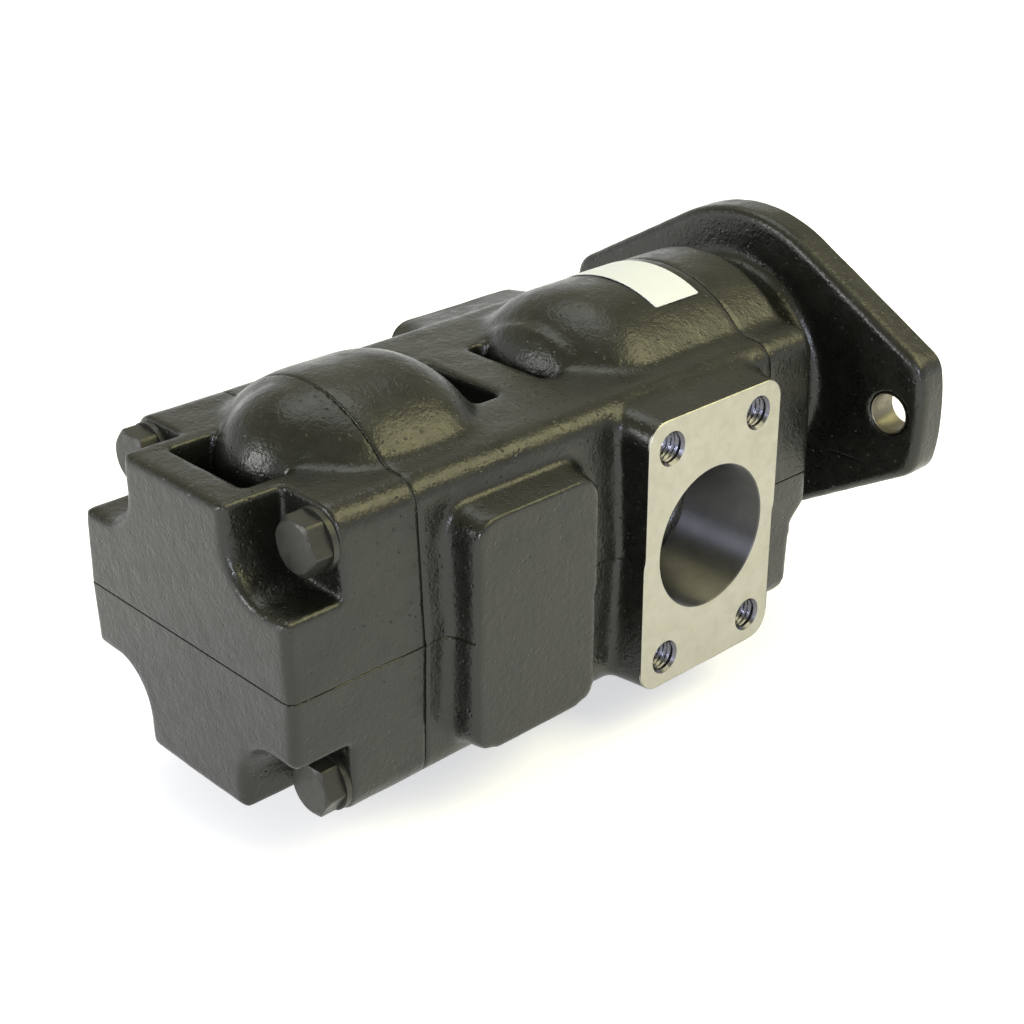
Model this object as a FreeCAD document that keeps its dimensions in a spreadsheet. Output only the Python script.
import FreeCAD, Part
import Sketcher
import math
import os

# Tandem hydraulic gear pump, millimetres.
# +X runs out along the drive shaft, +Z is up, and the suction port faces -Y.
# The origin is on the drive shaft's axis at the mounting face of the two-bolt flange.

DOC = FreeCAD.newDocument("tandem_pump")
SHEET = DOC.addObject("Spreadsheet::Sheet", "sizes")

# Driving sizes
SIZES = [
    ("gear_centre_distance", 45.0, "drive axis to idler axis"),
    ("tooth_count", 12, "teeth of every pumping gear"),
    ("pressure_angle", 25.0, "degrees"),
    ("tooth_root_depth", 1.25, "dedendum as a share of the module"),
    ("tooth_backlash", 0.2, "gap between flanks on the pitch circle"),
    ("tip_clearance", 0.06, "gear tip to chamber wall"),
    ("front_gear_width", 28.0, ""),
    ("rear_gear_width", 18.0, ""),
    ("front_block_thickness", 18.0, "bearing blocks of the front section"),
    ("rear_block_thickness", 15.0, "bearing blocks of the rear section"),
    ("side_play", 0.05, "gear face to bearing block, each side"),
    ("journal_diameter", 24.0, ""),
    ("journal_clearance", 0.04, "radial, journal in its bush"),
    ("bush_wall", 1.5, ""),
    ("bush_grip", 0.01, "radial interference of a bush in its block"),
    ("bush_setback", 0.5, "each end of a bush below its block's face"),
    ("block_clearance", 0.03, "radial, bearing block in its chamber"),
    ("journal_recess", 1.0, "end of an idler journal below its block's face"),
    ("pilot_diameter", 101.6, "spigot of the two-bolt flange"),
    ("pilot_height", 9.5, ""),
    ("flange_thickness", 12.7, ""),
    ("flange_hub_radius", 60.0, ""),
    ("flange_reach", 87.0, "drive axis to the end of a flange ear"),
    ("flange_side_angle", 29.7, "degrees, slope of the flange's long edges"),
    ("flange_corner_radius", 9.0, ""),
    ("flange_edge_radius", 3.0, "cast rounding of the flange's rear edge"),
    ("flange_bolt_spacing", 146.05, ""),
    ("flange_hole_diameter", 14.3, ""),
    ("neck_radius", 40.0, "round neck between flange and cover block"),
    ("neck_length", 19.5, ""),
    ("neck_fillet", 5.0, "hollow between neck and flange"),
    ("cover_block_length", 22.5, "cover block, neck to joint face"),
    ("cover_step_depth", 6.5, "how far the lower half of the block stands back"),
    ("cover_step_height", 13.0, "step below the parting plane"),
    ("cover_step_slope", 6.0, "height over which the step runs out"),
    ("body_length", 161.4, "joint face to joint face"),
    ("rear_cover_length", 51.1, ""),
    ("side_half_width", 53.9, "at the parting plane"),
    ("side_draft", 2.4, "degrees, moulding draft of the sides"),
    ("shoulder_rise", 31.8, "drive axis up to the shoulders"),
    ("shoulder_drop", 72.3, "drive axis down to the lower shoulders"),
    ("shoulder_corner_radius", 9.0, ""),
    ("hump_radius", 49.3, "round back over the drive gears' axis"),
    ("lower_hump_radius", 46.0, "round back under the idler gears' axis"),
    ("hump_end_radius", 28.0, "rounding at the end of a hump"),
    ("hump_blend_radius", 7.0, "hollow between hump and shoulder"),
    ("front_hump_length", 71.3, "front joint face to the end of the hump"),
    ("rear_hump_length", 55.1, "rear joint face to the front end of the hump"),
    ("rear_dome_reach", 21.6, "rear joint face to the rear end of the hump"),
    ("web_front", 78.0, "front joint face to the front of the centre web"),
    ("web_thickness", 19.5, ""),
    ("web_pocket_depth", 11.0, ""),
    ("pocket_half_width", 19.5, ""),
    ("end_wall_thickness", 10.0, "plate at the rear end of the rear cover"),
    ("end_pocket_depth", 18.0, ""),
    ("scallop_depth", 21.7, "bolt scallop, from the rear end face"),
    ("scallop_radius", 16.5, ""),
    ("end_edge_radius", 3.0, "rounding round the rear end face"),
    ("tie_bolt_side", 42.3, "tie bolt to the middle plane"),
    ("tie_bolt_upper", 20.4, "upper tie bolts above the drive axis"),
    ("tie_bolt_lower", 61.8, "lower tie bolts below the drive axis"),
    ("tie_bolt_diameter", 10.0, ""),
    ("tie_bolt_hole", 10.8, ""),
    ("tie_bolt_grip", 12.5, "thread engaged in the mounting cover"),
    ("tapping_extra", 1.5, "blind end of a tapped hole past its screw"),
    ("thread_clearance", 0.05, "radial, screw in its tapped hole"),
    ("bolt_head_flats", 17.0, ""),
    ("bolt_head_height", 7.0, ""),
    ("bolt_head_turn", 25.0, "degrees"),
    ("washer_diameter", 20.0, ""),
    ("washer_thickness", 2.0, ""),
    ("port_reach", 64.5, "middle plane to the port faces"),
    ("front_port_offset", 42.9, "front joint face to the front port axis"),
    ("front_port_half_width", 32.8, ""),
    ("port_face_rise", 49.5, "port axis to the top of its face"),
    ("port_face_drop", 49.6, "port axis to the bottom of its face"),
    ("port_corner_radius", 8.0, ""),
    ("port_base_growth", 2.5, "how much a boss widens down to the casting"),
    ("rear_port_offset", 37.5, "rear joint face to the rear port axis"),
    ("rear_pad_half_width", 26.3, ""),
    ("rear_pad_rise", 40.5, ""),
    ("suction_bore", 50.8, ""),
    ("suction_mouth_depth", 22.0, "machined mouth of the suction port"),
    ("suction_throat", 48.8, "cast bore behind the mouth"),
    ("suction_depth", 34.0, "port face to the bottom of the cast bore"),
    ("suction_spacing_side", 42.9, "four bolt pattern along the pump"),
    ("suction_spacing_up", 77.8, "four bolt pattern across the pump"),
    ("suction_screw_hole", 10.2, ""),
    ("suction_screw_depth", 14.5, "stops short of the tie bolts"),
    ("front_outlet_bore", 25.4, ""),
    ("front_outlet_spacing_side", 26.2, ""),
    ("front_outlet_spacing_up", 52.4, ""),
    ("rear_outlet_bore", 19.0, ""),
    ("rear_outlet_spacing_side", 22.2, ""),
    ("rear_outlet_spacing_up", 47.6, ""),
    ("outlet_depth", 16.0, ""),
    ("outlet_screw_hole", 8.5, ""),
    ("outlet_screw_depth", 20.0, ""),
    ("hole_chamfer", 1.0, ""),
    ("passage_diameter", 19.0, "cored passage from suction port to rear section"),
    ("passage_side", 36.0, "passage axis to the middle plane"),
    ("inlet_window", 20.0, "cored window into a gear chamber"),
    ("tunnel_diameter", 32.0, "shaft tunnel through the centre web"),
    ("sleeve_length", 36.0, "splined coupling sleeve"),
    ("sleeve_diameter", 30.0, ""),
    ("tail_gap", 3.0, "gap between the two splined shaft tails"),
    ("tail_diameter", 19.6, ""),
    ("tail_root_diameter", 16.4, ""),
    ("tail_keys", 8, ""),
    ("tail_slot_width", 3.6, "straight-sided slot between two keys"),
    ("tail_clearance", 0.08, "splined tail in its sleeve"),
    ("spline_teeth", 13, "splines of the drive end"),
    ("spline_diameter", 21.8, ""),
    ("spline_root_diameter", 18.6, ""),
    ("spline_length", 33.0, ""),
    ("spline_gap_root", 1.9, "width of a spline gap at its floor"),
    ("spline_gap_mouth", 3.5, "width of a spline gap at the outside"),
    ("shaft_reach", 41.2, "mounting face to the shaft's end"),
    ("shaft_end_chamfer", 1.2, ""),
    ("seal_bore", 42.0, ""),
    ("seal_width", 7.0, ""),
    ("seal_wall", 1.6, "metal case of a shaft seal"),
    ("seal_case_clearance", 0.02, "radial, seal case in its bore"),
    ("seal_spacer_bore", 30.0, ""),
    ("seal_lip_clearance", 0.05, "seal lip to shaft"),
    ("seal_spacer_width", 2.5, ""),
    ("ring_groove_width", 1.85, ""),
    ("ring_groove_depth", 1.25, ""),
    ("retaining_ring_width", 1.75, ""),
    ("retaining_ring_section", 4.0, ""),
    ("retaining_ring_play", 0.1, "radial, ring in its groove"),
    ("retaining_ring_gap", 8.0, "between the ends of the ring"),
    ("retaining_ring_eye", 2.0, "plier hole in each end"),
    ("ring_setback", 2.0, "retaining ring below the spigot's end"),
    ("shaft_passage", 27.0, "bore behind the shaft seals"),
    ("joint_seal_radius", 31.5, "joint seal's middle line round each gear axis"),
    ("joint_seal_width", 3.2, ""),
    ("joint_seal_depth", 2.2, ""),
    ("joint_seal_play", 0.2, "seal to the side of its groove"),
    ("balance_seal_radius", 23.4, "outer edge of a bearing block's seal"),
    ("balance_seal_width", 2.4, ""),
    ("balance_seal_depth", 2.4, ""),
    ("balance_seal_waist", 7.0, "outer edge to the middle plane, between the gear axes"),
    ("balance_seal_cut", 6.0, "ends of the open seal, past the middle plane"),
    ("balance_seal_play", 0.05, ""),
    ("relief_depth", 2.0, "relief pockets in a bearing block's gear face"),
    ("relief_length", 7.0, ""),
    ("relief_height", 9.0, ""),
    ("relief_side", 4.0, "relief pocket to the middle plane"),
    ("backup_thickness", 1.0, ""),
    ("dowel_diameter", 8.0, ""),
    ("dowel_length", 14.0, ""),
    ("dowel_side", 45.5, "dowel to the middle plane"),
    ("dowel_wall", 1.4, ""),
    ("dowel_clearance", 0.02, ""),
]

for row, (alias, value, note) in enumerate(SIZES, start=1):
    SHEET.set("A%d" % row, alias)
    SHEET.set("B%d" % row, str(value))
    SHEET.setAlias("B%d" % row, alias)
    SHEET.set("C%d" % row, note)
DOC.recompute()


class Size:
    """A number together with the spreadsheet expression that gives it."""

    def __init__(self, value, text, plain=False):
        self.value = float(value)
        self.text = text
        self.plain = plain

    def __add__(self, other):
        other = as_size(other)
        return Size(self.value + other.value, "(%s + %s)" % (self.text, other.text))

    def __radd__(self, other):
        return as_size(other) + self

    def __sub__(self, other):
        other = as_size(other)
        return Size(self.value - other.value, "(%s - %s)" % (self.text, other.text))

    def __rsub__(self, other):
        return as_size(other) - self

    def __mul__(self, other):
        other = as_size(other)
        return Size(self.value * other.value, "(%s * %s)" % (self.text, other.text))

    def __rmul__(self, other):
        return as_size(other) * self

    def __truediv__(self, other):
        other = as_size(other)
        return Size(self.value / other.value, "(%s / %s)" % (self.text, other.text))

    def __rtruediv__(self, other):
        return as_size(other) / self

    def __neg__(self):
        return Size(-self.value, "(0 - %s)" % self.text)


def as_size(number):
    """A plain number as a Size."""
    if isinstance(number, Size):
        return number
    return Size(number, "%.9g" % number if number >= 0 else "(0 - %.9g)" % -number, True)


def size(alias):
    """A driving size from the spreadsheet."""
    return Size(SHEET.get(alias), "sizes.%s" % alias)


def root(number):
    return Size(math.sqrt(number.value), "sqrt(%s)" % number.text)


def arc_cosine(number):
    """The angle, in radians, with this cosine."""
    return Size(math.acos(number.value), "(acos(%s) / 1 deg * pi / 180)" % number.text)


def tangent(angle):
    return Size(math.tan(math.radians(angle.value)), "tan(%s)" % angle.text)


def sine(angle):
    return Size(math.sin(math.radians(angle.value)), "sin(%s)" % angle.text)


def cosine(angle):
    return Size(math.cos(math.radians(angle.value)), "cos(%s)" % angle.text)


# Places along the shaft, from the mounting face back
FLANGE_REAR = -size("flange_thickness")
COVER_FRONT = FLANGE_REAR - size("neck_length")
FRONT_JOINT = COVER_FRONT - size("cover_block_length")
REAR_JOINT = FRONT_JOINT - size("body_length")
REAR_END = REAR_JOINT - size("rear_cover_length")
SCALLOP_FLOOR = REAR_END + size("scallop_depth")

# Gear sections
FRONT_CHAMBER_DEPTH = (2 * size("front_block_thickness") + size("front_gear_width")
                       + 2 * size("side_play"))
REAR_CHAMBER_DEPTH = (2 * size("rear_block_thickness") + size("rear_gear_width")
                      + 2 * size("side_play"))
FRONT_CHAMBER_END = FRONT_JOINT - FRONT_CHAMBER_DEPTH
REAR_CHAMBER_END = REAR_JOINT + REAR_CHAMBER_DEPTH
FRONT_GEAR_FACE = FRONT_JOINT - size("front_block_thickness") - size("side_play")
REAR_GEAR_FACE = REAR_CHAMBER_END - size("rear_block_thickness") - size("side_play")
FRONT_GEAR_MIDDLE = FRONT_GEAR_FACE - size("front_gear_width") / 2
REAR_GEAR_MIDDLE = REAR_GEAR_FACE - size("rear_gear_width") / 2
IDLER_Z = -size("gear_centre_distance")
PARTING_Z = -size("gear_centre_distance") / 2
GEAR_MODULE = size("gear_centre_distance") / size("tooth_count")
TIP_RADIUS = GEAR_MODULE * (size("tooth_count") / 2 + 1)
ROOT_RADIUS = GEAR_MODULE * (size("tooth_count") / 2 - size("tooth_root_depth"))
CHAMBER_RADIUS = TIP_RADIUS + size("tip_clearance")
FRONT_PORT_X = FRONT_JOINT - size("front_port_offset")
REAR_PORT_X = REAR_JOINT + size("rear_port_offset")
TAIL_MIDDLE = (FRONT_CHAMBER_END + REAR_CHAMBER_END) / 2
PARTS = []


def bind(item, name, number):
    """Ties a property to its spreadsheet expression."""
    item.setExpression(name, number.text)


def new_body(name):
    """A sub-part of the pump, made as a body of its own."""
    body = DOC.addObject("PartDesign::Body", name)
    body.Label = name
    PARTS.append(body)
    return body


def new_sketch(body, name, role, offset=None, rise=None):
    """A sketch on one of the body's own planes, moved off it by offset."""
    plane = [item for item in body.Origin.OriginFeatures if item.Role == role][0]
    sketch = body.newObject("Sketcher::SketchObject", name)
    sketch.AttachmentSupport = [(plane, "")]
    sketch.MapMode = "FlatFace"
    if offset is not None:
        bind(sketch, ".AttachmentOffset.Base.z", offset)
    if rise is not None:
        bind(sketch, ".AttachmentOffset.Base.y", rise)
    return sketch


def tie(sketch, kind, places, number):
    """A named, bound dimension of a sketch."""
    index = sketch.addConstraint(Sketcher.Constraint(kind, *places, number.value))
    name = "d%d" % index
    sketch.renameConstraint(index, name)
    if not number.plain:
        bind(sketch, "Constraints.%s" % name, number)


def tie_point(sketch, geometry, end, across, up):
    """Places one point of a sketch from its origin."""
    tie(sketch, "DistanceX", (-1, 1, geometry, end), as_size(across))
    tie(sketch, "DistanceY", (-1, 1, geometry, end), as_size(up))


def draw_circle(sketch, across, up, radius):
    """A circle by its centre and radius."""
    across = as_size(across)
    up = as_size(up)
    centre = FreeCAD.Vector(across.value, up.value, 0)
    circle = Part.Circle(centre, FreeCAD.Vector(0, 0, 1), radius.value)
    index = sketch.addGeometry(circle, False)
    tie_point(sketch, index, 3, across, up)
    tie(sketch, "Radius", (index,), radius)


def arc_middle(start, end, radius, side):
    """The middle of the short arc, its bulge on the given side of the chord."""
    chord = end - start
    half = chord.Length / 2
    height = radius - math.sqrt(max(radius * radius - half * half, 0.0))
    normal = FreeCAD.Vector(chord.y, -chord.x, 0).normalize()
    return start + chord * 0.5 + normal * (height * side)


def draw_loop(sketch, corners):
    """A closed outline. A corner is across, up and, where an arc leaves it, radius and side.

    Side is 1 where the arc bulges to the right of its direction, and -1 to the left.
    """
    points = [FreeCAD.Vector(as_size(c[0]).value, as_size(c[1]).value, 0) for c in corners]
    ends = []
    for index, corner in enumerate(corners):
        start = points[index]
        stop = points[(index + 1) % len(corners)]
        if len(corner) == 2:
            geometry = sketch.addGeometry(Part.LineSegment(start, stop), False)
            ends.append((geometry, 1, 2))
            continue
        middle = arc_middle(start, stop, corner[2].value, corner[3])
        forward = corner[3] > 0
        arc = Part.Arc(start, middle, stop) if forward else Part.Arc(stop, middle, start)
        geometry = sketch.addGeometry(arc, False)
        ends.append((geometry, 1, 2) if forward else (geometry, 2, 1))
    for index, (geometry, first, last) in enumerate(ends):
        following = ends[(index + 1) % len(ends)]
        sketch.addConstraint(
            Sketcher.Constraint("Coincident", geometry, last, following[0], following[1]))
    for (geometry, first, last), corner in zip(ends, corners):
        tie_point(sketch, geometry, first, corner[0], corner[1])
        if len(corner) == 4:
            tie(sketch, "Radius", (geometry,), corner[2])


def feature(body, kind, name, sketch, length=None, backwards=False, angle=None, refine=True):
    """A pad, pocket, revolution or groove of one sketch."""
    item = body.newObject("PartDesign::" + kind, name)
    item.Profile = sketch
    if length is not None:
        bind(item, "Length", length)
    if angle is not None:
        item.ReferenceAxis = (sketch, [angle])
        item.Angle = 360.0
    item.Reversed = backwards
    item.Refine = refine
    DOC.recompute()
    return item


def add_fillet(body, name, base, edges, radius):
    """Rounds the chosen edges of the body's last feature."""
    item = body.newObject("PartDesign::Fillet", name)
    item.Base = (base, edges)
    bind(item, "Radius", radius)
    DOC.recompute()
    return item


def add_chamfer(body, name, base, edges, width):
    """Bevels the chosen edges of the body's last feature."""
    item = body.newObject("PartDesign::Chamfer", name)
    item.Base = (base, edges)
    bind(item, "Size", width)
    DOC.recompute()
    return item


def pick_edges(item, test):
    """Names of the edges whose middle point, ends and curve pass the test."""
    names = []
    for index, edge in enumerate(item.Shape.Edges, start=1):
        middle = edge.valueAt((edge.FirstParameter + edge.LastParameter) / 2)
        if test(edge, middle):
            names.append("Edge%d" % index)
    return names


def runs_along_x(edge):
    """True for a straight edge along the shaft."""
    if edge.Curve.TypeId != "Part::GeomLine":
        return False
    return abs(abs(edge.Curve.Direction.x) - 1) < 1e-6


def near(first, second, gap=0.01):
    return abs(first - second) < gap


# Casting section

def draw_section(sketch):
    """The casting's six-cornered section: sides drafted both ways from the parting plane."""
    slope = tangent(size("side_draft"))
    top = size("side_half_width") - slope * (size("shoulder_rise") - PARTING_Z)
    low = size("side_half_width") - slope * (size("shoulder_drop") + PARTING_Z)
    draw_loop(sketch, [
        (-size("side_half_width"), PARTING_Z),
        (-low, -size("shoulder_drop")),
        (low, -size("shoulder_drop")),
        (size("side_half_width"), PARTING_Z),
        (top, size("shoulder_rise")),
        (-top, size("shoulder_rise")),
    ])


def section_block(body, start, length):
    """A length of the casting section with its four rounded corners."""
    sketch = new_sketch(body, body.Name + "_section", "YZ_Plane", start)
    draw_section(sketch)
    block = feature(body, "Pad", body.Name + "_block", sketch, length)
    rise = size("shoulder_rise").value
    drop = -size("shoulder_drop").value
    corners = pick_edges(block, lambda edge, middle: runs_along_x(edge)
                         and (near(middle.z, rise) or near(middle.z, drop)))
    return add_fillet(body, body.Name + "_corners", block, corners,
                      size("shoulder_corner_radius"))


def add_hump(body, name, axis_height, corners):
    """One round back, turned about a gear axis from its outline above that axis."""
    sketch = new_sketch(body, body.Name + "_" + name, "XZ_Plane", None, axis_height)
    draw_loop(sketch, corners)
    return feature(body, "Revolution", body.Name + "_" + name + "_turned", sketch,
                   angle="H_Axis")


def blend_humps(body, base):
    """Hollow fillets where the humps meet the upper and lower shoulders."""
    levels = [size("shoulder_rise").value, -size("shoulder_drop").value]
    round_faces = ("Part::GeomCylinder", "Part::GeomToroid", "Part::GeomSurfaceOfRevolution")

    def meets(edge, middle):
        if edge.Curve.TypeId == "Part::GeomLine" and not runs_along_x(edge):
            return False
        if not any(near(middle.z, level) for level in levels):
            return False
        if not all(near(vertex.Z, middle.z) for vertex in edge.Vertexes):
            return False
        if abs(middle.y) > size("hump_radius").value - 5:
            return False
        kinds = [face.Surface.TypeId for face in base.Shape.ancestorsOfType(edge, Part.Face)]
        return "Part::GeomPlane" in kinds and any(kind in round_faces for kind in kinds)

    return add_fillet(body, body.Name + "_blends", base, pick_edges(base, meets),
                      size("hump_blend_radius"))


def radius_at_rear_joint(radius):
    """Height of the rear hump's dome where the rear joint face cuts it."""
    inset = size("hump_end_radius") - size("rear_dome_reach")
    drop = root(size("hump_end_radius") * size("hump_end_radius") - inset * inset)
    return radius - size("hump_end_radius") + drop


HUMPS = [("hump", as_size(0), size("hump_radius")),
         ("lower_hump", IDLER_Z, size("lower_hump_radius"))]


def add_front_hump(body, name, axis_height, radius):
    """Hump over the front section, from the front joint face to its domed end."""
    end = FRONT_JOINT - size("front_hump_length")
    return add_hump(body, name, axis_height, [
        (FRONT_JOINT, as_size(0)),
        (FRONT_JOINT, radius),
        (end + size("hump_end_radius"), radius, size("hump_end_radius"), 1),
        (end, radius - size("hump_end_radius")),
        (end, as_size(0)),
    ])


def add_rear_hump(body, name, axis_height, radius):
    """Hump over the rear section, from its domed front end to the rear joint face."""
    end = REAR_JOINT + size("rear_hump_length")
    crest = REAR_JOINT - size("rear_dome_reach") + size("hump_end_radius")
    return add_hump(body, name, axis_height, [
        (REAR_JOINT, as_size(0)),
        (end, as_size(0)),
        (end, radius - size("hump_end_radius"), size("hump_end_radius"), 1),
        (end - size("hump_end_radius"), radius),
        (crest, radius, size("hump_end_radius"), 1),
        (REAR_JOINT, radius_at_rear_joint(radius)),
    ])


def add_cover_dome(body, name, axis_height, radius):
    """The part of the rear hump's dome that lies on the rear cover."""
    end = REAR_JOINT - size("rear_dome_reach")
    return add_hump(body, name, axis_height, [
        (REAR_JOINT, as_size(0)),
        (REAR_JOINT, radius_at_rear_joint(radius), size("hump_end_radius"), 1),
        (end, radius - size("hump_end_radius")),
        (end, as_size(0)),
    ])


def add_cover_hump(body, name, axis_height, radius):
    """Plain round back over the mounting cover's block."""
    return add_hump(body, name, axis_height, [
        (FRONT_JOINT, as_size(0)),
        (FRONT_JOINT, radius),
        (COVER_FRONT, radius),
        (COVER_FRONT, as_size(0)),
    ])


# Cutting and padding helpers

def pocket(body, name, sketch, depth, backwards=False):
    """A pocket that has to take material away, or the model is refused."""
    before = body.Shape.Volume
    item = feature(body, "Pocket", body.Name + "_" + name + "_cut", sketch, depth, backwards,
                   refine=False)
    if body.Shape.Volume > before - 1.0:
        raise ValueError("%s %s cuts nothing" % (body.Name, name))
    return item


def box_sketch(body, name, role, start, low, high):
    """A rectangle between two corners."""
    sketch = new_sketch(body, body.Name + "_" + name, role, start)
    draw_loop(sketch, [(low[0], low[1]), (high[0], low[1]), (high[0], high[1]),
                       (low[0], high[1])])
    return sketch


def circle_sketch(body, name, role, start, circles):
    """One or more circles, each by its centre and radius."""
    sketch = new_sketch(body, body.Name + "_" + name, role, start)
    for across, up, radius in circles:
        draw_circle(sketch, across, up, radius)
    return sketch


def cut_circles(body, name, role, start, circles, depth, backwards=False):
    """Round holes sunk from one plane."""
    sketch = circle_sketch(body, name, role, start, circles)
    return pocket(body, name, sketch, depth, backwards)


def pad_circle(body, name, start, length, centre, radius, backwards=False):
    """A round bar along the shaft's direction."""
    sketch = circle_sketch(body, name, "YZ_Plane", start, [(centre[0], centre[1], radius)])
    return feature(body, "Pad", body.Name + "_" + name + "_pad", sketch, length, backwards)


def round_box(sketch, low, high, radius):
    """A rectangle with four round corners."""
    draw_loop(sketch, [
        (low[0] + radius, low[1]),
        (high[0] - radius, low[1], radius, 1),
        (high[0], low[1] + radius),
        (high[0], high[1] - radius, radius, 1),
        (high[0] - radius, high[1]),
        (low[0] + radius, high[1], radius, 1),
        (low[0], high[1] - radius),
        (low[0], low[1] + radius, radius, 1),
    ])


def stadium(sketch, radius):
    """An oval round both gear axes."""
    draw_loop(sketch, [
        (radius, as_size(0), radius, 1),
        (as_size(0), radius, radius, 1),
        (-radius, as_size(0)),
        (-radius, IDLER_Z, radius, 1),
        (as_size(0), IDLER_Z - radius, radius, 1),
        (radius, IDLER_Z),
    ])


def tie_bolt_places():
    """Across and up places of the four tie bolts."""
    side = size("tie_bolt_side")
    return [(side, size("tie_bolt_upper")), (-side, size("tie_bolt_upper")),
            (side, -size("tie_bolt_lower")), (-side, -size("tie_bolt_lower"))]


def four_holes(centre, side, up, radius):
    """Four circles at the corners of a rectangle round one port."""
    return [(centre + across * side / 2, PARTING_Z + rise * up / 2, radius)
            for across in (-1, 1) for rise in (-1, 1)]


def joint_seal_groove(body, joint, backwards):
    """Oval groove for a joint seal in a cover's joint face."""
    half = size("joint_seal_width") / 2
    sketch = new_sketch(body, body.Name + "_seal_groove", "YZ_Plane", joint)
    stadium(sketch, size("joint_seal_radius") + half)
    stadium(sketch, size("joint_seal_radius") - half)
    pocket(body, "seal_groove", sketch, size("joint_seal_depth"), backwards)


def dowel_holes(body, name, joint, backwards):
    """Two dowel holes in one joint face, half a dowel deep."""
    radius = size("dowel_diameter") / 2 + size("dowel_clearance")
    places = [(size("dowel_side"), PARTING_Z, radius), (-size("dowel_side"), PARTING_Z, radius)]
    return cut_circles(body, name, "YZ_Plane", joint, places, size("dowel_length") / 2 + 0.5,
                       backwards)


# Mounting cover

def flange_outline(sketch):
    """Two-bolt flange: round hub, straight tapering sides and ear ends round the shaft axis."""
    hub = size("flange_hub_radius")
    reach = size("flange_reach")
    across = hub * sine(size("flange_side_angle"))
    up = hub * cosine(size("flange_side_angle"))
    run = root(reach * reach - hub * hub)
    ear_across = across + run * cosine(size("flange_side_angle"))
    ear_up = up - run * sine(size("flange_side_angle"))
    draw_loop(sketch, [
        (ear_across, -ear_up, reach, 1),
        (ear_across, ear_up),
        (across, up, hub, 1),
        (-across, up),
        (-ear_across, ear_up, reach, 1),
        (-ear_across, -ear_up),
        (-across, -up, hub, 1),
        (across, -up),
    ])


def make_mounting_cover():
    """Drive-end casting: two-bolt flange with its spigot, neck, and block on the joint face."""
    body = new_body("mounting_cover")
    section_block(body, FRONT_JOINT, size("cover_block_length"))
    for name, height, radius in HUMPS:
        last = add_cover_hump(body, name, height, radius)
    blend_humps(body, last)
    step = new_sketch(body, "mounting_cover_step", "XZ_Plane")
    step_top = PARTING_Z - size("cover_step_height")
    deep = -size("shoulder_drop") - size("lower_hump_radius")
    back = COVER_FRONT - size("cover_step_depth")
    draw_loop(step, [(COVER_FRONT + size("hole_chamfer"), step_top),
                     (COVER_FRONT, step_top),
                     (back, step_top - size("cover_step_slope")),
                     (back, deep),
                     (COVER_FRONT + size("hole_chamfer"), deep)])
    item = pocket(body, "step", step, size("side_half_width") * 4)
    item.Midplane = True
    neck_back = size("neck_length") + size("cover_step_depth")
    pad_circle(body, "neck", FLANGE_REAR, neck_back, (0, 0), size("neck_radius"), True)
    plate = new_sketch(body, "mounting_cover_flange", "YZ_Plane", FLANGE_REAR)
    flange_outline(plate)
    last = feature(body, "Pad", "mounting_cover_flange_pad", plate, size("flange_thickness"))
    reach = size("flange_reach").value
    corners = pick_edges(last, lambda edge, middle: runs_along_x(edge)
                         and near(math.hypot(middle.y, middle.z), reach, 0.1)
                         and middle.x > FLANGE_REAR.value)
    last = add_fillet(body, "mounting_cover_ears", last, corners, size("flange_corner_radius"))
    rim = pick_edges(last, lambda edge, middle: near(middle.x, FLANGE_REAR.value)
                     and math.hypot(middle.y, middle.z) > size("neck_radius").value + 5)
    last = add_fillet(body, "mounting_cover_rim", last, rim, size("flange_edge_radius"))
    root_edge = pick_edges(last, lambda edge, middle: near(middle.x, FLANGE_REAR.value)
                           and near(math.hypot(middle.y, middle.z), size("neck_radius").value))
    add_fillet(body, "mounting_cover_neck_root", last, root_edge, size("neck_fillet"))
    last = pad_circle(body, "spigot", as_size(0), size("pilot_height"), (0, 0),
                      size("pilot_diameter") / 2)
    spigot_edge = pick_edges(last, lambda edge, middle: near(middle.x, size("pilot_height").value))
    add_chamfer(body, "mounting_cover_spigot_bevel", last, spigot_edge, size("hole_chamfer"))
    bolt_side = size("flange_bolt_spacing") / 2
    hole = size("flange_hole_diameter") / 2
    cut_circles(body, "flange_holes", "YZ_Plane", as_size(0),
                [(bolt_side, 0, hole), (-bolt_side, 0, hole)], size("flange_thickness") + 1)
    depth = size("pilot_height") - FRONT_JOINT
    cut_circles(body, "shaft_passage", "YZ_Plane", size("pilot_height"),
                [(0, 0, size("shaft_passage") / 2)], depth + 1)
    cut_circles(body, "seal_bore", "YZ_Plane", size("pilot_height"),
                [(0, 0, size("seal_bore") / 2)], SEAL_SEAT_DEPTH)
    ring_front = size("pilot_height") - size("ring_setback")
    groove = new_sketch(body, "mounting_cover_ring_groove", "XZ_Plane")
    outer = size("seal_bore") / 2 + size("ring_groove_depth")
    draw_loop(groove, [(ring_front - size("ring_groove_width"), size("seal_bore") / 2 - 1),
                       (ring_front, size("seal_bore") / 2 - 1),
                       (ring_front, outer),
                       (ring_front - size("ring_groove_width"), outer)])
    feature(body, "Groove", "mounting_cover_ring_groove_cut", groove, angle="H_Axis")
    tapped = size("tie_bolt_diameter") / 2 + size("thread_clearance")
    places = [(across, up, tapped) for across, up in tie_bolt_places()]
    cut_circles(body, "tie_bolt_threads", "YZ_Plane", FRONT_JOINT, places,
                size("tie_bolt_grip") + size("tapping_extra"), True)
    dowel_holes(body, "dowel_holes", FRONT_JOINT, True)
    joint_seal_groove(body, FRONT_JOINT, True)
    return body


SEAL_SEAT_DEPTH = (size("ring_setback") + size("ring_groove_width") + size("seal_spacer_width")
                   + 2 * size("seal_width"))


# Pump body

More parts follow.
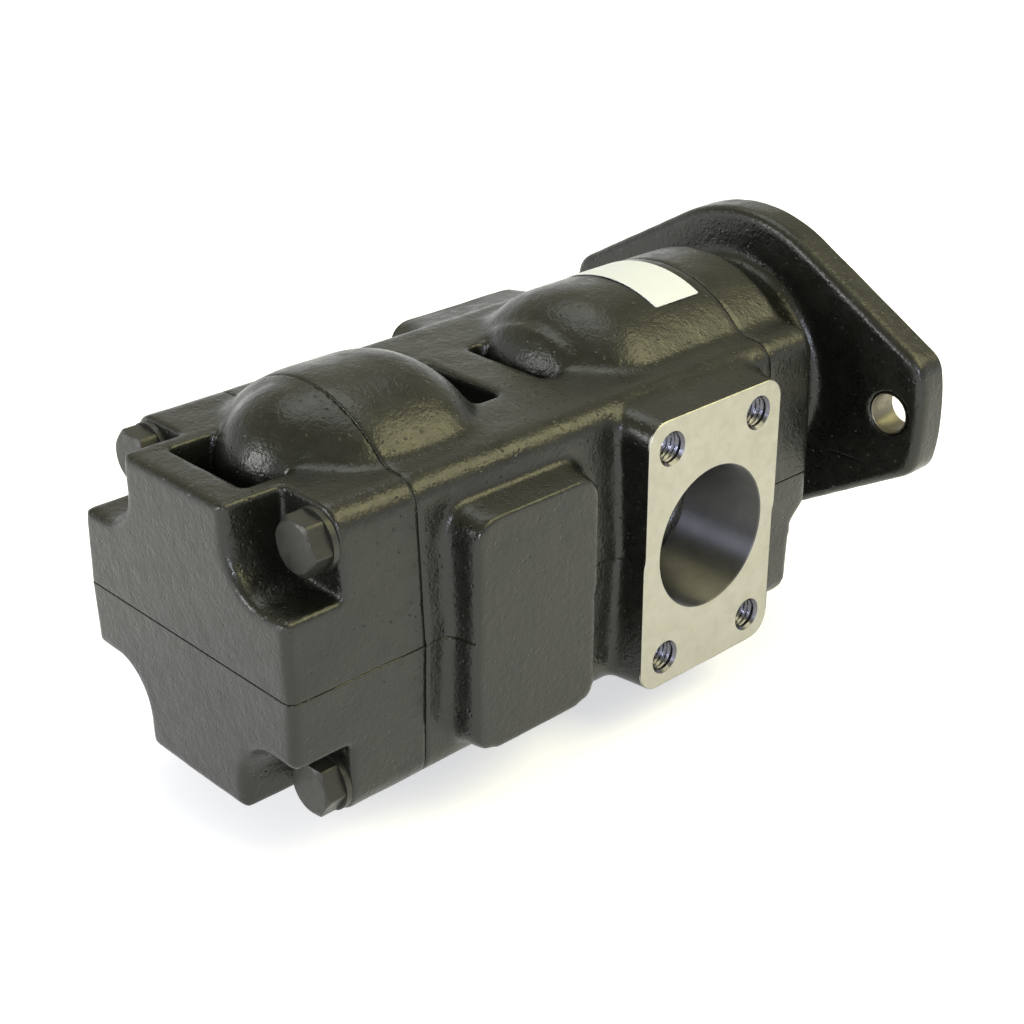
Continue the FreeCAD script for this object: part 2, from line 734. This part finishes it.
def web_pockets(body):
    """Upper and lower hollows that the humps reach into, each side of the centre web."""
    half = size("pocket_half_width")
    web_front = FRONT_JOINT - size("web_front")
    web_rear = web_front - size("web_thickness")
    front_end = FRONT_JOINT - size("front_hump_length") + size("hump_end_radius") / 4
    rear_end = REAR_JOINT + size("rear_hump_length") - size("hump_end_radius") / 4
    for place, low, high in (("front", web_front, front_end), ("rear", rear_end, web_rear)):
        hollow_pair(body, "web_" + place, low, high, half, size("web_pocket_depth"))


def hollow_pair(body, name, low, high, half, depth):
    """The same rectangular hollow in the upper and the lower shoulders."""
    for side, level, backwards in (("top", size("shoulder_rise"), False),
                                   ("low", -size("shoulder_drop"), True)):
        sketch = box_sketch(body, name + "_" + side, "XY_Plane", level,
                            (low, -half), (high, half))
        pocket(body, name + "_" + side, sketch, depth, backwards)


def add_boss(body, name, side, low, high):
    """A port boss: a round-cornered face that widens down to the casting."""
    growth = size("port_base_growth")
    radius = size("port_corner_radius")
    face = new_sketch(body, "%s_%s_face" % (body.Name, name), "XZ_Plane",
                      -side * size("port_reach"))
    round_box(face, low, high, radius)
    base = new_sketch(body, "%s_%s_base" % (body.Name, name), "XZ_Plane",
                      -side * (size("side_half_width") - radius))
    round_box(base, (low[0] - growth, low[1] + as_size(0)), (high[0] + growth, high[1] + growth),
              radius)
    boss = body.newObject("PartDesign::AdditiveLoft", "%s_%s" % (body.Name, name))
    boss.Profile = face
    boss.Sections = [base]
    boss.Ruled = True
    DOC.recompute()
    return boss


def cut_port(body, name, side, centre, bore, depth, screws, screw_depth):
    """A port bore with its four tapped holes, all with bevelled mouths."""
    start = -side * size("port_reach")
    into = side > 0
    cut_circles(body, name + "_bore", "XZ_Plane", start, [(centre, PARTING_Z, bore / 2)],
                depth, into)
    last = cut_circles(body, name + "_screw_holes", "XZ_Plane", start, screws, screw_depth, into)
    level = side * size("port_reach").value
    mouths = pick_edges(last, lambda edge, middle: edge.Curve.TypeId == "Part::GeomCircle"
                        and all(near(vertex.Y, level) for vertex in edge.Vertexes)
                        and len(edge.Vertexes) == 1
                        and abs(edge.Curve.Center.x - centre.value) < screws[-1][0].value
                        - centre.value + 1)
    add_chamfer(body, "%s_%s_mouths" % (body.Name, name), last, mouths, size("hole_chamfer"))


def cored_passage(body, name, side, port_x, port_radius, port_depth, gear_x, gear_radius):
    """A cored way that narrows from the bottom of a port to the gear mesh."""
    start = new_sketch(body, "%s_%s_mouth" % (body.Name, name), "XZ_Plane",
                       -side * (size("port_reach") - port_depth + 0.5))
    draw_circle(start, port_x, PARTING_Z, port_radius)
    stop = new_sketch(body, "%s_%s_window" % (body.Name, name), "XZ_Plane",
                      -side * (CHAMBER_RADIUS / 3))
    draw_circle(stop, gear_x, PARTING_Z, gear_radius)
    loft = body.newObject("PartDesign::SubtractiveLoft", "%s_%s" % (body.Name, name))
    loft.Profile = start
    loft.Sections = [stop]
    DOC.recompute()
    return loft


def make_pump_body():
    """Main casting: both gear chambers, the centre web, the ports and their bosses."""
    body = new_body("pump_body")
    section_block(body, REAR_JOINT, size("body_length"))
    web_pockets(body)
    for name, height, radius in HUMPS:
        add_front_hump(body, "front_" + name, height, radius)
        add_rear_hump(body, "rear_" + name, height, radius)
    half = size("front_port_half_width")
    rise = PARTING_Z + size("port_face_rise")
    drop = PARTING_Z - size("port_face_drop")
    for name, side in (("suction_boss", -1), ("front_outlet_boss", 1)):
        add_boss(body, name, side, (FRONT_PORT_X - half, drop), (FRONT_PORT_X + half, rise))
    half = size("rear_pad_half_width")
    pad_rise = PARTING_Z + size("rear_pad_rise")
    pad_drop = PARTING_Z - size("rear_pad_rise")
    for name, side in (("blank_pad", -1), ("rear_outlet_boss", 1)):
        add_boss(body, name, side, (REAR_PORT_X - half, pad_drop), (REAR_PORT_X + half, pad_rise))
    for name, joint, depth, backwards in (
            ("front_chamber", FRONT_JOINT, FRONT_CHAMBER_DEPTH, False),
            ("rear_chamber", REAR_JOINT, REAR_CHAMBER_DEPTH, True)):
        cut_circles(body, name + "_drive", "YZ_Plane", joint, [(0, 0, CHAMBER_RADIUS)],
                    depth, backwards)
        cut_circles(body, name + "_idler", "YZ_Plane", joint, [(0, IDLER_Z, CHAMBER_RADIUS)],
                    depth, backwards)
    cut_circles(body, "shaft_tunnel", "YZ_Plane", FRONT_CHAMBER_END + 1,
                [(0, 0, size("tunnel_diameter") / 2)],
                FRONT_CHAMBER_END - REAR_CHAMBER_END + 2)
    cut_port(body, "suction", -1, FRONT_PORT_X, size("suction_bore"),
             size("suction_mouth_depth"),
             four_holes(FRONT_PORT_X, size("suction_spacing_side"), size("suction_spacing_up"),
                        size("suction_screw_hole") / 2), size("suction_screw_depth"))
    throat_start = size("suction_mouth_depth") - 1
    cut_circles(body, "suction_throat", "XZ_Plane", size("port_reach") - throat_start,
                [(FRONT_PORT_X, PARTING_Z, size("suction_throat") / 2)],
                size("suction_depth") - throat_start)
    cut_port(body, "front_outlet", 1, FRONT_PORT_X, size("front_outlet_bore"),
             size("outlet_depth"),
             four_holes(FRONT_PORT_X, size("front_outlet_spacing_side"),
                        size("front_outlet_spacing_up"), size("outlet_screw_hole") / 2),
             size("outlet_screw_depth"))
    cut_port(body, "rear_outlet", 1, REAR_PORT_X, size("rear_outlet_bore"),
             size("outlet_depth"),
             four_holes(REAR_PORT_X, size("rear_outlet_spacing_side"),
                        size("rear_outlet_spacing_up"), size("outlet_screw_hole") / 2),
             size("outlet_screw_depth"))
    cored_passage(body, "suction_way", -1, FRONT_PORT_X, size("suction_throat") / 2 - 2,
                  size("suction_depth"), FRONT_GEAR_MIDDLE, size("inlet_window") / 2)
    cored_passage(body, "front_outlet_way", 1, FRONT_PORT_X, size("front_outlet_bore") / 2 - 2,
                  size("outlet_depth"), FRONT_GEAR_MIDDLE, size("inlet_window") / 2)
    cored_passage(body, "rear_outlet_way", 1, REAR_PORT_X, size("rear_outlet_bore") / 2 - 1,
                  size("outlet_depth"), REAR_GEAR_MIDDLE, size("rear_gear_width") / 2 - 1)
    cross = size("passage_diameter") / 2
    cut_circles(body, "cross_passage", "YZ_Plane", FRONT_PORT_X,
                [(-size("passage_side"), PARTING_Z, cross)],
                FRONT_PORT_X - REAR_GEAR_MIDDLE + cross)
    cut_circles(body, "rear_window", "XZ_Plane", size("passage_side"),
                [(REAR_GEAR_MIDDLE, PARTING_Z, size("rear_gear_width") / 2 - 1)],
                size("passage_side") - CHAMBER_RADIUS / 3)
    places = [(across, up, size("tie_bolt_hole") / 2) for across, up in tie_bolt_places()]
    cut_circles(body, "tie_bolt_holes", "YZ_Plane", FRONT_JOINT + 1, places,
                size("body_length") + 2)
    dowel_holes(body, "front_dowel_holes", FRONT_JOINT, False)
    blend_humps(body, dowel_holes(body, "rear_dowel_holes", REAR_JOINT, True))
    return body


# Rear cover

def scallop_outline(sketch, across, up, out_side, out_up):
    """Quarter-round seat round one tie bolt, open to the casting's outside corner."""
    radius = size("scallop_radius")
    far = size("side_half_width") * 1.5
    edge_across = across - out_side * radius
    edge_up = up - out_up * radius
    corners = [(edge_across, out_up * far + PARTING_Z),
               (edge_across, up, radius, out_side * out_up),
               (across, edge_up),
               (out_side * far, edge_up),
               (out_side * far, out_up * far + PARTING_Z)]
    draw_loop(sketch, corners)


def make_rear_cover():
    """Rear casting: joint face, dome, ribbed hollow and the cross-shaped end plate."""
    body = new_body("rear_cover")
    section_block(body, REAR_END, size("rear_cover_length"))
    inner = REAR_END + size("end_wall_thickness")
    dome_end = REAR_JOINT - size("rear_dome_reach") + size("hump_end_radius") / 4
    hollow_pair(body, "end_hollow", inner, dome_end, size("pocket_half_width"),
                size("end_pocket_depth"))
    for name, height, radius in HUMPS:
        last = add_cover_dome(body, name, height, radius)
    blend_humps(body, last)
    for index, (across, up) in enumerate(tie_bolt_places()):
        out_side = 1 if across.value > 0 else -1
        out_up = 1 if up.value > 0 else -1
        sketch = new_sketch(body, "rear_cover_scallop_%d" % index, "YZ_Plane", REAR_END)
        scallop_outline(sketch, across, up, out_side, out_up)
        last = pocket(body, "scallop_%d" % index, sketch, size("scallop_depth"), True)
    rim = pick_edges(last, lambda edge, middle: all(near(vertex.X, REAR_END.value)
                                                    for vertex in edge.Vertexes))
    add_fillet(body, "rear_cover_rim", last, rim, size("end_edge_radius"))
    places = [(across, up, size("tie_bolt_hole") / 2) for across, up in tie_bolt_places()]
    cut_circles(body, "tie_bolt_holes", "YZ_Plane", REAR_JOINT, places,
                REAR_JOINT - SCALLOP_FLOOR + 1)
    dowel_holes(body, "dowel_holes", REAR_JOINT, False)
    joint_seal_groove(body, REAR_JOINT, False)
    return body


# Gears and shafts

def involute(cosine_value):
    """Involute function, in radians, of the angle with this cosine."""
    tangent_value = root(1 - cosine_value * cosine_value) / cosine_value
    return tangent_value - arc_cosine(cosine_value)


PITCH_RADIUS = size("gear_centre_distance") / 2
BASE_RADIUS = PITCH_RADIUS * cosine(size("pressure_angle"))
DEGREES_PER_RADIAN = Size(180 / math.pi, "(180 / pi)")


def gap_half_angle(radius):
    """Half the angle, in degrees, of the gap between two involute flanks at one radius."""
    at_pitch = 90 / size("tooth_count") + DEGREES_PER_RADIAN * (
        size("tooth_backlash") / (4 * PITCH_RADIUS))
    turn = involute(BASE_RADIUS / PITCH_RADIUS) - involute(BASE_RADIUS / radius)
    return at_pitch - DEGREES_PER_RADIAN * turn


def polar(radius, angle):
    """Across and up of a point at an angle from straight up."""
    return radius * sine(angle), radius * cosine(angle)


def three_point_radius(first, second, third):
    """Radius of the circle through three places."""
    points = [FreeCAD.Vector(as_size(p[0]).value, as_size(p[1]).value, 0)
              for p in (first, second, third)]
    return as_size(Part.Arc(*points).toShape().Curve.Radius)


def tooth_gap(sketch, centre_angle):
    """Outline of one tooth gap: root arc, radial feet and involute flanks."""
    middle_radius = (BASE_RADIUS + TIP_RADIUS) / 2
    outside = TIP_RADIUS + GEAR_MODULE / 4
    base = gap_half_angle(BASE_RADIUS)
    middle = gap_half_angle(middle_radius)
    tip = gap_half_angle(TIP_RADIUS)
    left = [polar(BASE_RADIUS, centre_angle - base), polar(middle_radius, centre_angle - middle),
            polar(TIP_RADIUS, centre_angle - tip)]
    right = [polar(BASE_RADIUS, centre_angle + base), polar(TIP_RADIUS, centre_angle + tip)]
    flank = three_point_radius(*left)
    root_left = polar(ROOT_RADIUS, centre_angle - base)
    root_right = polar(ROOT_RADIUS, centre_angle + base)
    draw_loop(sketch, [
        root_left,
        left[0] + (flank, 1),
        left[2],
        polar(outside, centre_angle - tip),
        polar(outside, centre_angle + tip),
        right[1] + (flank, 1),
        right[0],
        root_right + (ROOT_RADIUS, 1),
    ])


def add_shaft(body, corners):
    """A turned blank from its outline of places and radii along the axis."""
    sketch = new_sketch(body, body.Name + "_outline", "XZ_Plane")
    axis_ends = [(corners[-1][0], as_size(0)), (corners[0][0], as_size(0))]
    draw_loop(sketch, corners + axis_ends)
    return feature(body, "Revolution", body.Name + "_blank", sketch, angle="H_Axis")


def around_axis(body, name, original, count):
    """Repeats a feature round the body's own shaft axis."""
    axis = [item for item in body.Origin.OriginFeatures if item.Role == "X_Axis"][0]
    pattern = body.newObject("PartDesign::PolarPattern", body.Name + "_" + name)
    pattern.Originals = [original]
    pattern.Axis = (axis, [""])
    pattern.Angle = 360.0
    bind(pattern, "Occurrences", count)
    pattern.Refine = False
    body.Tip = pattern
    DOC.recompute()
    return pattern


def cut_teeth(body, face, width, centre_angle):
    """The gear's tooth gaps, cut rearward from its front face."""
    sketch = new_sketch(body, body.Name + "_gap", "YZ_Plane", face)
    tooth_gap(sketch, centre_angle)
    gap = pocket(body, "gap", sketch, width)
    around_axis(body, "teeth", gap, size("tooth_count"))


def cut_tail(body, start, length):
    """The slots of a splined shaft tail, cut rearward from start."""
    half = size("tail_slot_width") / 2
    sketch = new_sketch(body, body.Name + "_tail_slot", "YZ_Plane", start)
    outside = size("tail_diameter") / 2 + 1
    floor = size("tail_root_diameter") / 2
    draw_loop(sketch, [(-half, floor), (-half, outside), (half, outside), (half, floor)])
    slot = pocket(body, "tail_slot", sketch, length)
    around_axis(body, "tail_keys", slot, size("tail_keys"))


def end_bevel(place, radius, side):
    """Two corners of a shaft's bevelled end; side is 1 for a front end."""
    bevel = size("shaft_end_chamfer")
    ends = [(place, radius - bevel), (place - side * bevel, radius)]
    return ends if side > 0 else ends[::-1]


JOURNAL = size("journal_diameter") / 2
TAIL = size("tail_diameter") / 2


def make_front_drive_gear():
    """Front gear with the drive shaft, both journals and the tail for the coupling."""
    body = new_body("front_drive_gear")
    gear_rear = FRONT_GEAR_FACE - size("front_gear_width")
    spline = size("spline_diameter") / 2
    spline_end = size("shaft_reach") - size("spline_length")
    tail_end = TAIL_MIDDLE + size("tail_gap") / 2
    add_shaft(body, end_bevel(size("shaft_reach"), spline, 1) + [
        (spline_end, spline), (spline_end, JOURNAL),
        (FRONT_GEAR_FACE, JOURNAL), (FRONT_GEAR_FACE, TIP_RADIUS),
        (gear_rear, TIP_RADIUS), (gear_rear, JOURNAL),
        (FRONT_CHAMBER_END, JOURNAL), (FRONT_CHAMBER_END, TAIL),
    ] + end_bevel(tail_end, TAIL, -1))
    cut_teeth(body, FRONT_GEAR_FACE, size("front_gear_width"), 180 / size("tooth_count"))
    cut_tail(body, FRONT_CHAMBER_END - 2, FRONT_CHAMBER_END - 2 - tail_end + 1)
    low = size("spline_root_diameter") / 2
    sketch = new_sketch(body, "drive_spline_gap", "YZ_Plane", size("shaft_reach") + 1)
    root_half = size("spline_gap_root") / 2
    mouth_half = size("spline_gap_mouth") / 2
    draw_loop(sketch, [(-root_half, low), (-mouth_half, spline + 1),
                       (mouth_half, spline + 1), (root_half, low)])
    gap = pocket(body, "spline_gap", sketch, size("spline_length") - 1)
    around_axis(body, "splines", gap, size("spline_teeth"))
    return body


def make_rear_drive_gear():
    """Rear gear with its two journals and the tail for the coupling."""
    body = new_body("rear_drive_gear")
    gear_rear = REAR_GEAR_FACE - size("rear_gear_width")
    tail_end = TAIL_MIDDLE - size("tail_gap") / 2
    stop = REAR_JOINT + size("journal_recess")
    add_shaft(body, end_bevel(tail_end, TAIL, 1) + [
        (REAR_CHAMBER_END, TAIL), (REAR_CHAMBER_END, JOURNAL),
        (REAR_GEAR_FACE, JOURNAL), (REAR_GEAR_FACE, TIP_RADIUS),
        (gear_rear, TIP_RADIUS), (gear_rear, JOURNAL),
    ] + end_bevel(stop, JOURNAL, -1))
    cut_teeth(body, REAR_GEAR_FACE, size("rear_gear_width"), 180 / size("tooth_count"))
    cut_tail(body, tail_end + 1, tail_end + 1 - REAR_CHAMBER_END - 2)
    return body


def make_idler(name, face, width, block):
    """Idler gear with its two journals, on its own axis below the drive."""
    body = new_body(name)
    front = face + size("side_play") + block - size("journal_recess")
    stop = face - width - size("side_play") - block + size("journal_recess")
    add_shaft(body, end_bevel(front, JOURNAL, 1) + [
        (face, JOURNAL), (face, TIP_RADIUS),
        (face - width, TIP_RADIUS), (face - width, JOURNAL),
    ] + end_bevel(stop, JOURNAL, -1))
    cut_teeth(body, face, width, as_size(0))
    bind(body, ".Placement.Base.z", IDLER_Z)
    return body


def make_coupling_sleeve():
    """Floating sleeve with inside keys that joins the two shaft tails."""
    body = new_body("coupling_sleeve")
    start = TAIL_MIDDLE - size("sleeve_length") / 2
    bore = TAIL + size("tail_clearance")
    sketch = circle_sketch(body, "tube", "YZ_Plane", start,
                           [(0, 0, size("sleeve_diameter") / 2), (0, 0, bore)])
    feature(body, "Pad", "coupling_sleeve_tube_pad", sketch, size("sleeve_length"))
    key = new_sketch(body, "coupling_sleeve_key", "YZ_Plane", start)
    half = size("tail_slot_width") / 2 - size("tail_clearance")
    low = size("tail_root_diameter") / 2 + size("tail_clearance")
    draw_loop(key, [(-half, low), (-half, bore + 1), (half, bore + 1), (half, low)])
    pad = feature(body, "Pad", "coupling_sleeve_key_pad", key, size("sleeve_length"))
    around_axis(body, "keys", pad, size("tail_keys"))
    return body


# Bearing blocks and bushes

BUSH_BORE = JOURNAL + size("journal_clearance")
BUSH_OUTSIDE = BUSH_BORE + size("bush_wall")


def three_shape(sketch, outer, outer_waist, inner, inner_waist, cut):
    """A band round both gear axes, drawn in at the waist and open on the suction side."""
    outer_end = root(outer * outer - cut * cut)
    outer_turn = root(outer * outer - outer_waist * outer_waist)
    inner_end = root(inner * inner - cut * cut)
    inner_turn = root(inner * inner - inner_waist * inner_waist)
    draw_loop(sketch, [
        (-cut, outer_end, outer, -1),
        (outer, as_size(0), outer, -1),
        (outer_waist, -outer_turn),
        (outer_waist, IDLER_Z + outer_turn, outer, -1),
        (outer, IDLER_Z, outer, -1),
        (-cut, IDLER_Z - outer_end),
        (-cut, IDLER_Z - inner_end, inner, 1),
        (inner, IDLER_Z, inner, 1),
        (inner_waist, IDLER_Z + inner_turn),
        (inner_waist, -inner_turn, inner, 1),
        (inner, as_size(0), inner, 1),
        (-cut, inner_end),
    ])


def make_block(name, back, thickness, faces_rear):
    """Bearing block: two bores, a seal groove in its back and relief pockets in its gear face."""
    body = new_body(name)
    radius = CHAMBER_RADIUS - size("block_clearance")
    for place, height in (("drive", as_size(0)), ("idler", IDLER_Z)):
        pad_circle(body, place, back, thickness, (as_size(0), height), radius, faces_rear)
    bore = BUSH_OUTSIDE - size("bush_grip")
    cut_circles(body, "bores", "YZ_Plane", back, [(0, 0, bore), (0, IDLER_Z, bore)],
                thickness, not faces_rear)
    play = size("balance_seal_play")
    groove = new_sketch(body, name + "_seal_groove", "YZ_Plane", back)
    outer = size("balance_seal_radius")
    waist = size("balance_seal_waist")
    band = size("balance_seal_width") + size("backup_thickness")
    three_shape(groove, outer + play, waist + play, outer - band - play, waist - band - play,
                size("balance_seal_cut") + play)
    pocket(body, "seal_groove", groove, size("balance_seal_depth"), not faces_rear)
    gear_face = back - thickness if faces_rear else back + thickness
    relief = new_sketch(body, name + "_relief", "YZ_Plane", gear_face)
    low = PARTING_Z - size("relief_height") / 2
    high = PARTING_Z + size("relief_height") / 2
    near_side = size("relief_side")
    far_side = near_side + size("relief_length")
    draw_loop(relief, [(near_side, low), (far_side, low), (far_side, high), (near_side, high)])
    draw_loop(relief, [(-far_side, low), (-near_side, low), (-near_side, high),
                       (-far_side, high)])
    pocket(body, "relief", relief, size("relief_depth"), faces_rear)
    return body


def make_bush(name, back, thickness, height, faces_rear):
    """Plain bush for one journal."""
    body = new_body(name)
    setback = size("bush_setback")
    start = back - setback if faces_rear else back + setback
    sketch = circle_sketch(body, "tube", "YZ_Plane", start,
                           [(0, height, BUSH_OUTSIDE), (0, height, BUSH_BORE)])
    feature(body, "Pad", name + "_pad", sketch, thickness - 2 * setback, faces_rear)
    return body


def make_balance_seals(name, back, faces_rear):
    """The open seal in a block's back and the thin backup strip inside it."""
    outer = size("balance_seal_radius")
    waist = size("balance_seal_waist")
    width = size("balance_seal_width")
    strip = size("backup_thickness")
    play = size("balance_seal_play")
    cut = size("balance_seal_cut")
    seal = new_body(name + "_balance_seal")
    sketch = new_sketch(seal, name + "_seal_band", "YZ_Plane", back)
    three_shape(sketch, outer, waist, outer - width + play, waist - width + play, cut)
    feature(seal, "Pad", name + "_seal_pad", sketch, size("balance_seal_depth"), faces_rear)
    backup = new_body(name + "_backup_strip")
    sketch = new_sketch(backup, name + "_strip_band", "YZ_Plane", back)
    three_shape(sketch, outer - width, waist - width, outer - width - strip,
                waist - width - strip, cut)
    feature(backup, "Pad", name + "_strip_pad", sketch, size("balance_seal_depth"), faces_rear)


def make_bearings(place, back, thickness, faces_rear):
    """One bearing block with its bushes, seal and backup strip."""
    make_block(place + "_bearing_block", back, thickness, faces_rear)
    make_bush(place + "_drive_bush", back, thickness, as_size(0), faces_rear)
    make_bush(place + "_idler_bush", back, thickness, IDLER_Z, faces_rear)
    make_balance_seals(place, back, faces_rear)


# Seals, ring, dowels and tie bolts

def make_joint_seal(name, groove_floor):
    """Oval seal round both gear chambers, in a cover's joint face."""
    body = new_body(name)
    half = size("joint_seal_width") / 2 - size("joint_seal_play")
    sketch = new_sketch(body, name + "_band", "YZ_Plane", groove_floor)
    stadium(sketch, size("joint_seal_radius") + half)
    stadium(sketch, size("joint_seal_radius") - half)
    feature(body, "Pad", name + "_pad", sketch, size("joint_seal_depth"))


def make_shaft_seal(name, front):
    """Lip seal: cased outside wall, front web and a lip at the shaft."""
    body = new_body(name)
    back = front - size("seal_width")
    wall = size("seal_wall")
    case = size("seal_bore") / 2 - size("seal_case_clearance")
    lip = JOURNAL + size("seal_lip_clearance")
    sketch = new_sketch(body, name + "_section", "XZ_Plane")
    draw_loop(sketch, [(front, lip), (front, case), (back, case), (back, case - wall),
                       (front - wall, case - wall), (front - wall, lip + wall),
                       (back + wall, lip + wall), (back + wall, lip)])
    feature(body, "Revolution", name + "_ring", sketch, angle="H_Axis")


def make_seal_parts():
    """Both shaft seals, the spacer between them and the ring that keeps them in."""
    setback = size("pilot_height") - size("ring_setback")
    seat = setback - size("ring_groove_width")
    make_shaft_seal("outer_shaft_seal", seat)
    spacer_front = seat - size("seal_width")
    spacer = new_body("seal_spacer")
    sketch = circle_sketch(spacer, "ring", "YZ_Plane", spacer_front, [
        (0, 0, size("seal_bore") / 2 - size("seal_case_clearance")),
        (0, 0, size("seal_spacer_bore") / 2)])
    feature(spacer, "Pad", "seal_spacer_pad", sketch, size("seal_spacer_width"), True)
    make_shaft_seal("inner_shaft_seal", spacer_front - size("seal_spacer_width"))
    ring = new_body("retaining_ring")
    start = setback - (size("ring_groove_width") - size("retaining_ring_width")) / 2
    outer = size("seal_bore") / 2 + size("ring_groove_depth") - size("retaining_ring_play")
    inner = outer - size("retaining_ring_section")
    sketch = circle_sketch(ring, "band", "YZ_Plane", start, [(0, 0, outer), (0, 0, inner)])
    feature(ring, "Pad", "retaining_ring_pad", sketch, size("retaining_ring_width"), True)
    half = size("retaining_ring_gap") / 2
    gap = box_sketch(ring, "gap", "YZ_Plane", start, (-half, -outer - 1), (half, as_size(0)))
    pocket(ring, "gap", gap, size("retaining_ring_width"))
    eye = size("retaining_ring_eye") / 2
    side = half + 2 * eye
    middle = (outer + inner) / 2
    rise = -root(middle * middle - side * side)
    cut_circles(ring, "eyes", "YZ_Plane", start, [(side, rise, eye), (-side, rise, eye)],
                size("retaining_ring_width"))


def make_dowels(name, joint):
    """Two hollow dowels across one joint."""
    body = new_body(name)
    body.AllowCompound = True
    radius = size("dowel_diameter") / 2
    start = joint - size("dowel_length") / 2
    sketch = new_sketch(body, name + "_rings", "YZ_Plane", start)
    for side in (size("dowel_side"), -size("dowel_side")):
        draw_circle(sketch, side, PARTING_Z, radius)
        draw_circle(sketch, side, PARTING_Z, radius - size("dowel_wall"))
    feature(body, "Pad", name + "_pad", sketch, size("dowel_length"))


def hexagon(sketch, across, up, flats, turn):
    """A hexagon round one bolt's axis, turned by an angle."""
    corner = flats / (2 * cosine(as_size(30)))
    corners = []
    for index in range(6):
        angle = turn + 60 * index
        corners.append((across + corner * sine(angle), up + corner * cosine(angle)))
    draw_loop(sketch, corners)


def make_tie_bolts():
    """Four long hexagon bolts and their washers, in the rear cover's scallops."""
    washers = new_body("tie_bolt_washers")
    washers.AllowCompound = True
    sketch = new_sketch(washers, "washer_rings", "YZ_Plane", SCALLOP_FLOOR)
    for across, up in tie_bolt_places():
        draw_circle(sketch, across, up, size("washer_diameter") / 2)
        draw_circle(sketch, across, up, size("tie_bolt_hole") / 2)
    feature(washers, "Pad", "washer_pad", sketch, size("washer_thickness"), True)
    bolts = new_body("tie_bolts")
    bolts.AllowCompound = True
    seat = SCALLOP_FLOOR - size("washer_thickness")
    heads = new_sketch(bolts, "bolt_heads", "YZ_Plane", seat)
    for across, up in tie_bolt_places():
        hexagon(heads, across, up, size("bolt_head_flats"), size("bolt_head_turn"))
    feature(bolts, "Pad", "bolt_heads_pad", heads, size("bolt_head_height"), True)
    shanks = circle_sketch(bolts, "shanks", "YZ_Plane", seat,
                           [(across, up, size("tie_bolt_diameter") / 2)
                            for across, up in tie_bolt_places()])
    reach = FRONT_JOINT + size("tie_bolt_grip") - seat
    feature(bolts, "Pad", "tie_bolts_shanks_pad", shanks, reach)


make_mounting_cover()
make_pump_body()
make_rear_cover()
make_front_drive_gear()
make_rear_drive_gear()
make_idler("front_idler_gear", FRONT_GEAR_FACE, size("front_gear_width"),
           size("front_block_thickness"))
make_idler("rear_idler_gear", REAR_GEAR_FACE, size("rear_gear_width"),
           size("rear_block_thickness"))
make_coupling_sleeve()
make_bearings("front_outer", FRONT_JOINT, size("front_block_thickness"), True)
make_bearings("front_inner", FRONT_CHAMBER_END, size("front_block_thickness"), False)
make_bearings("rear_inner", REAR_CHAMBER_END, size("rear_block_thickness"), True)
make_bearings("rear_outer", REAR_JOINT, size("rear_block_thickness"), False)
make_joint_seal("front_joint_seal", FRONT_JOINT)
make_joint_seal("rear_joint_seal", REAR_JOINT - size("joint_seal_depth"))
make_seal_parts()
make_dowels("front_dowels", FRONT_JOINT)
make_dowels("rear_dowels", REAR_JOINT)
make_tie_bolts()

DOC.recompute()
faults = ["%s %s" % (item.Name, item.State) for item in DOC.Objects
          if "Invalid" in item.State or "Error" in item.State]
faults += ["%s has no valid shape" % item.Name for item in PARTS
           if item.Shape.isNull() or not item.Shape.isValid()]
if faults:
    raise ValueError("; ".join(faults))
os.makedirs("parts", exist_ok=True)
for item in PARTS:
    item.Shape.exportStep("parts/%s.step" % item.Name)
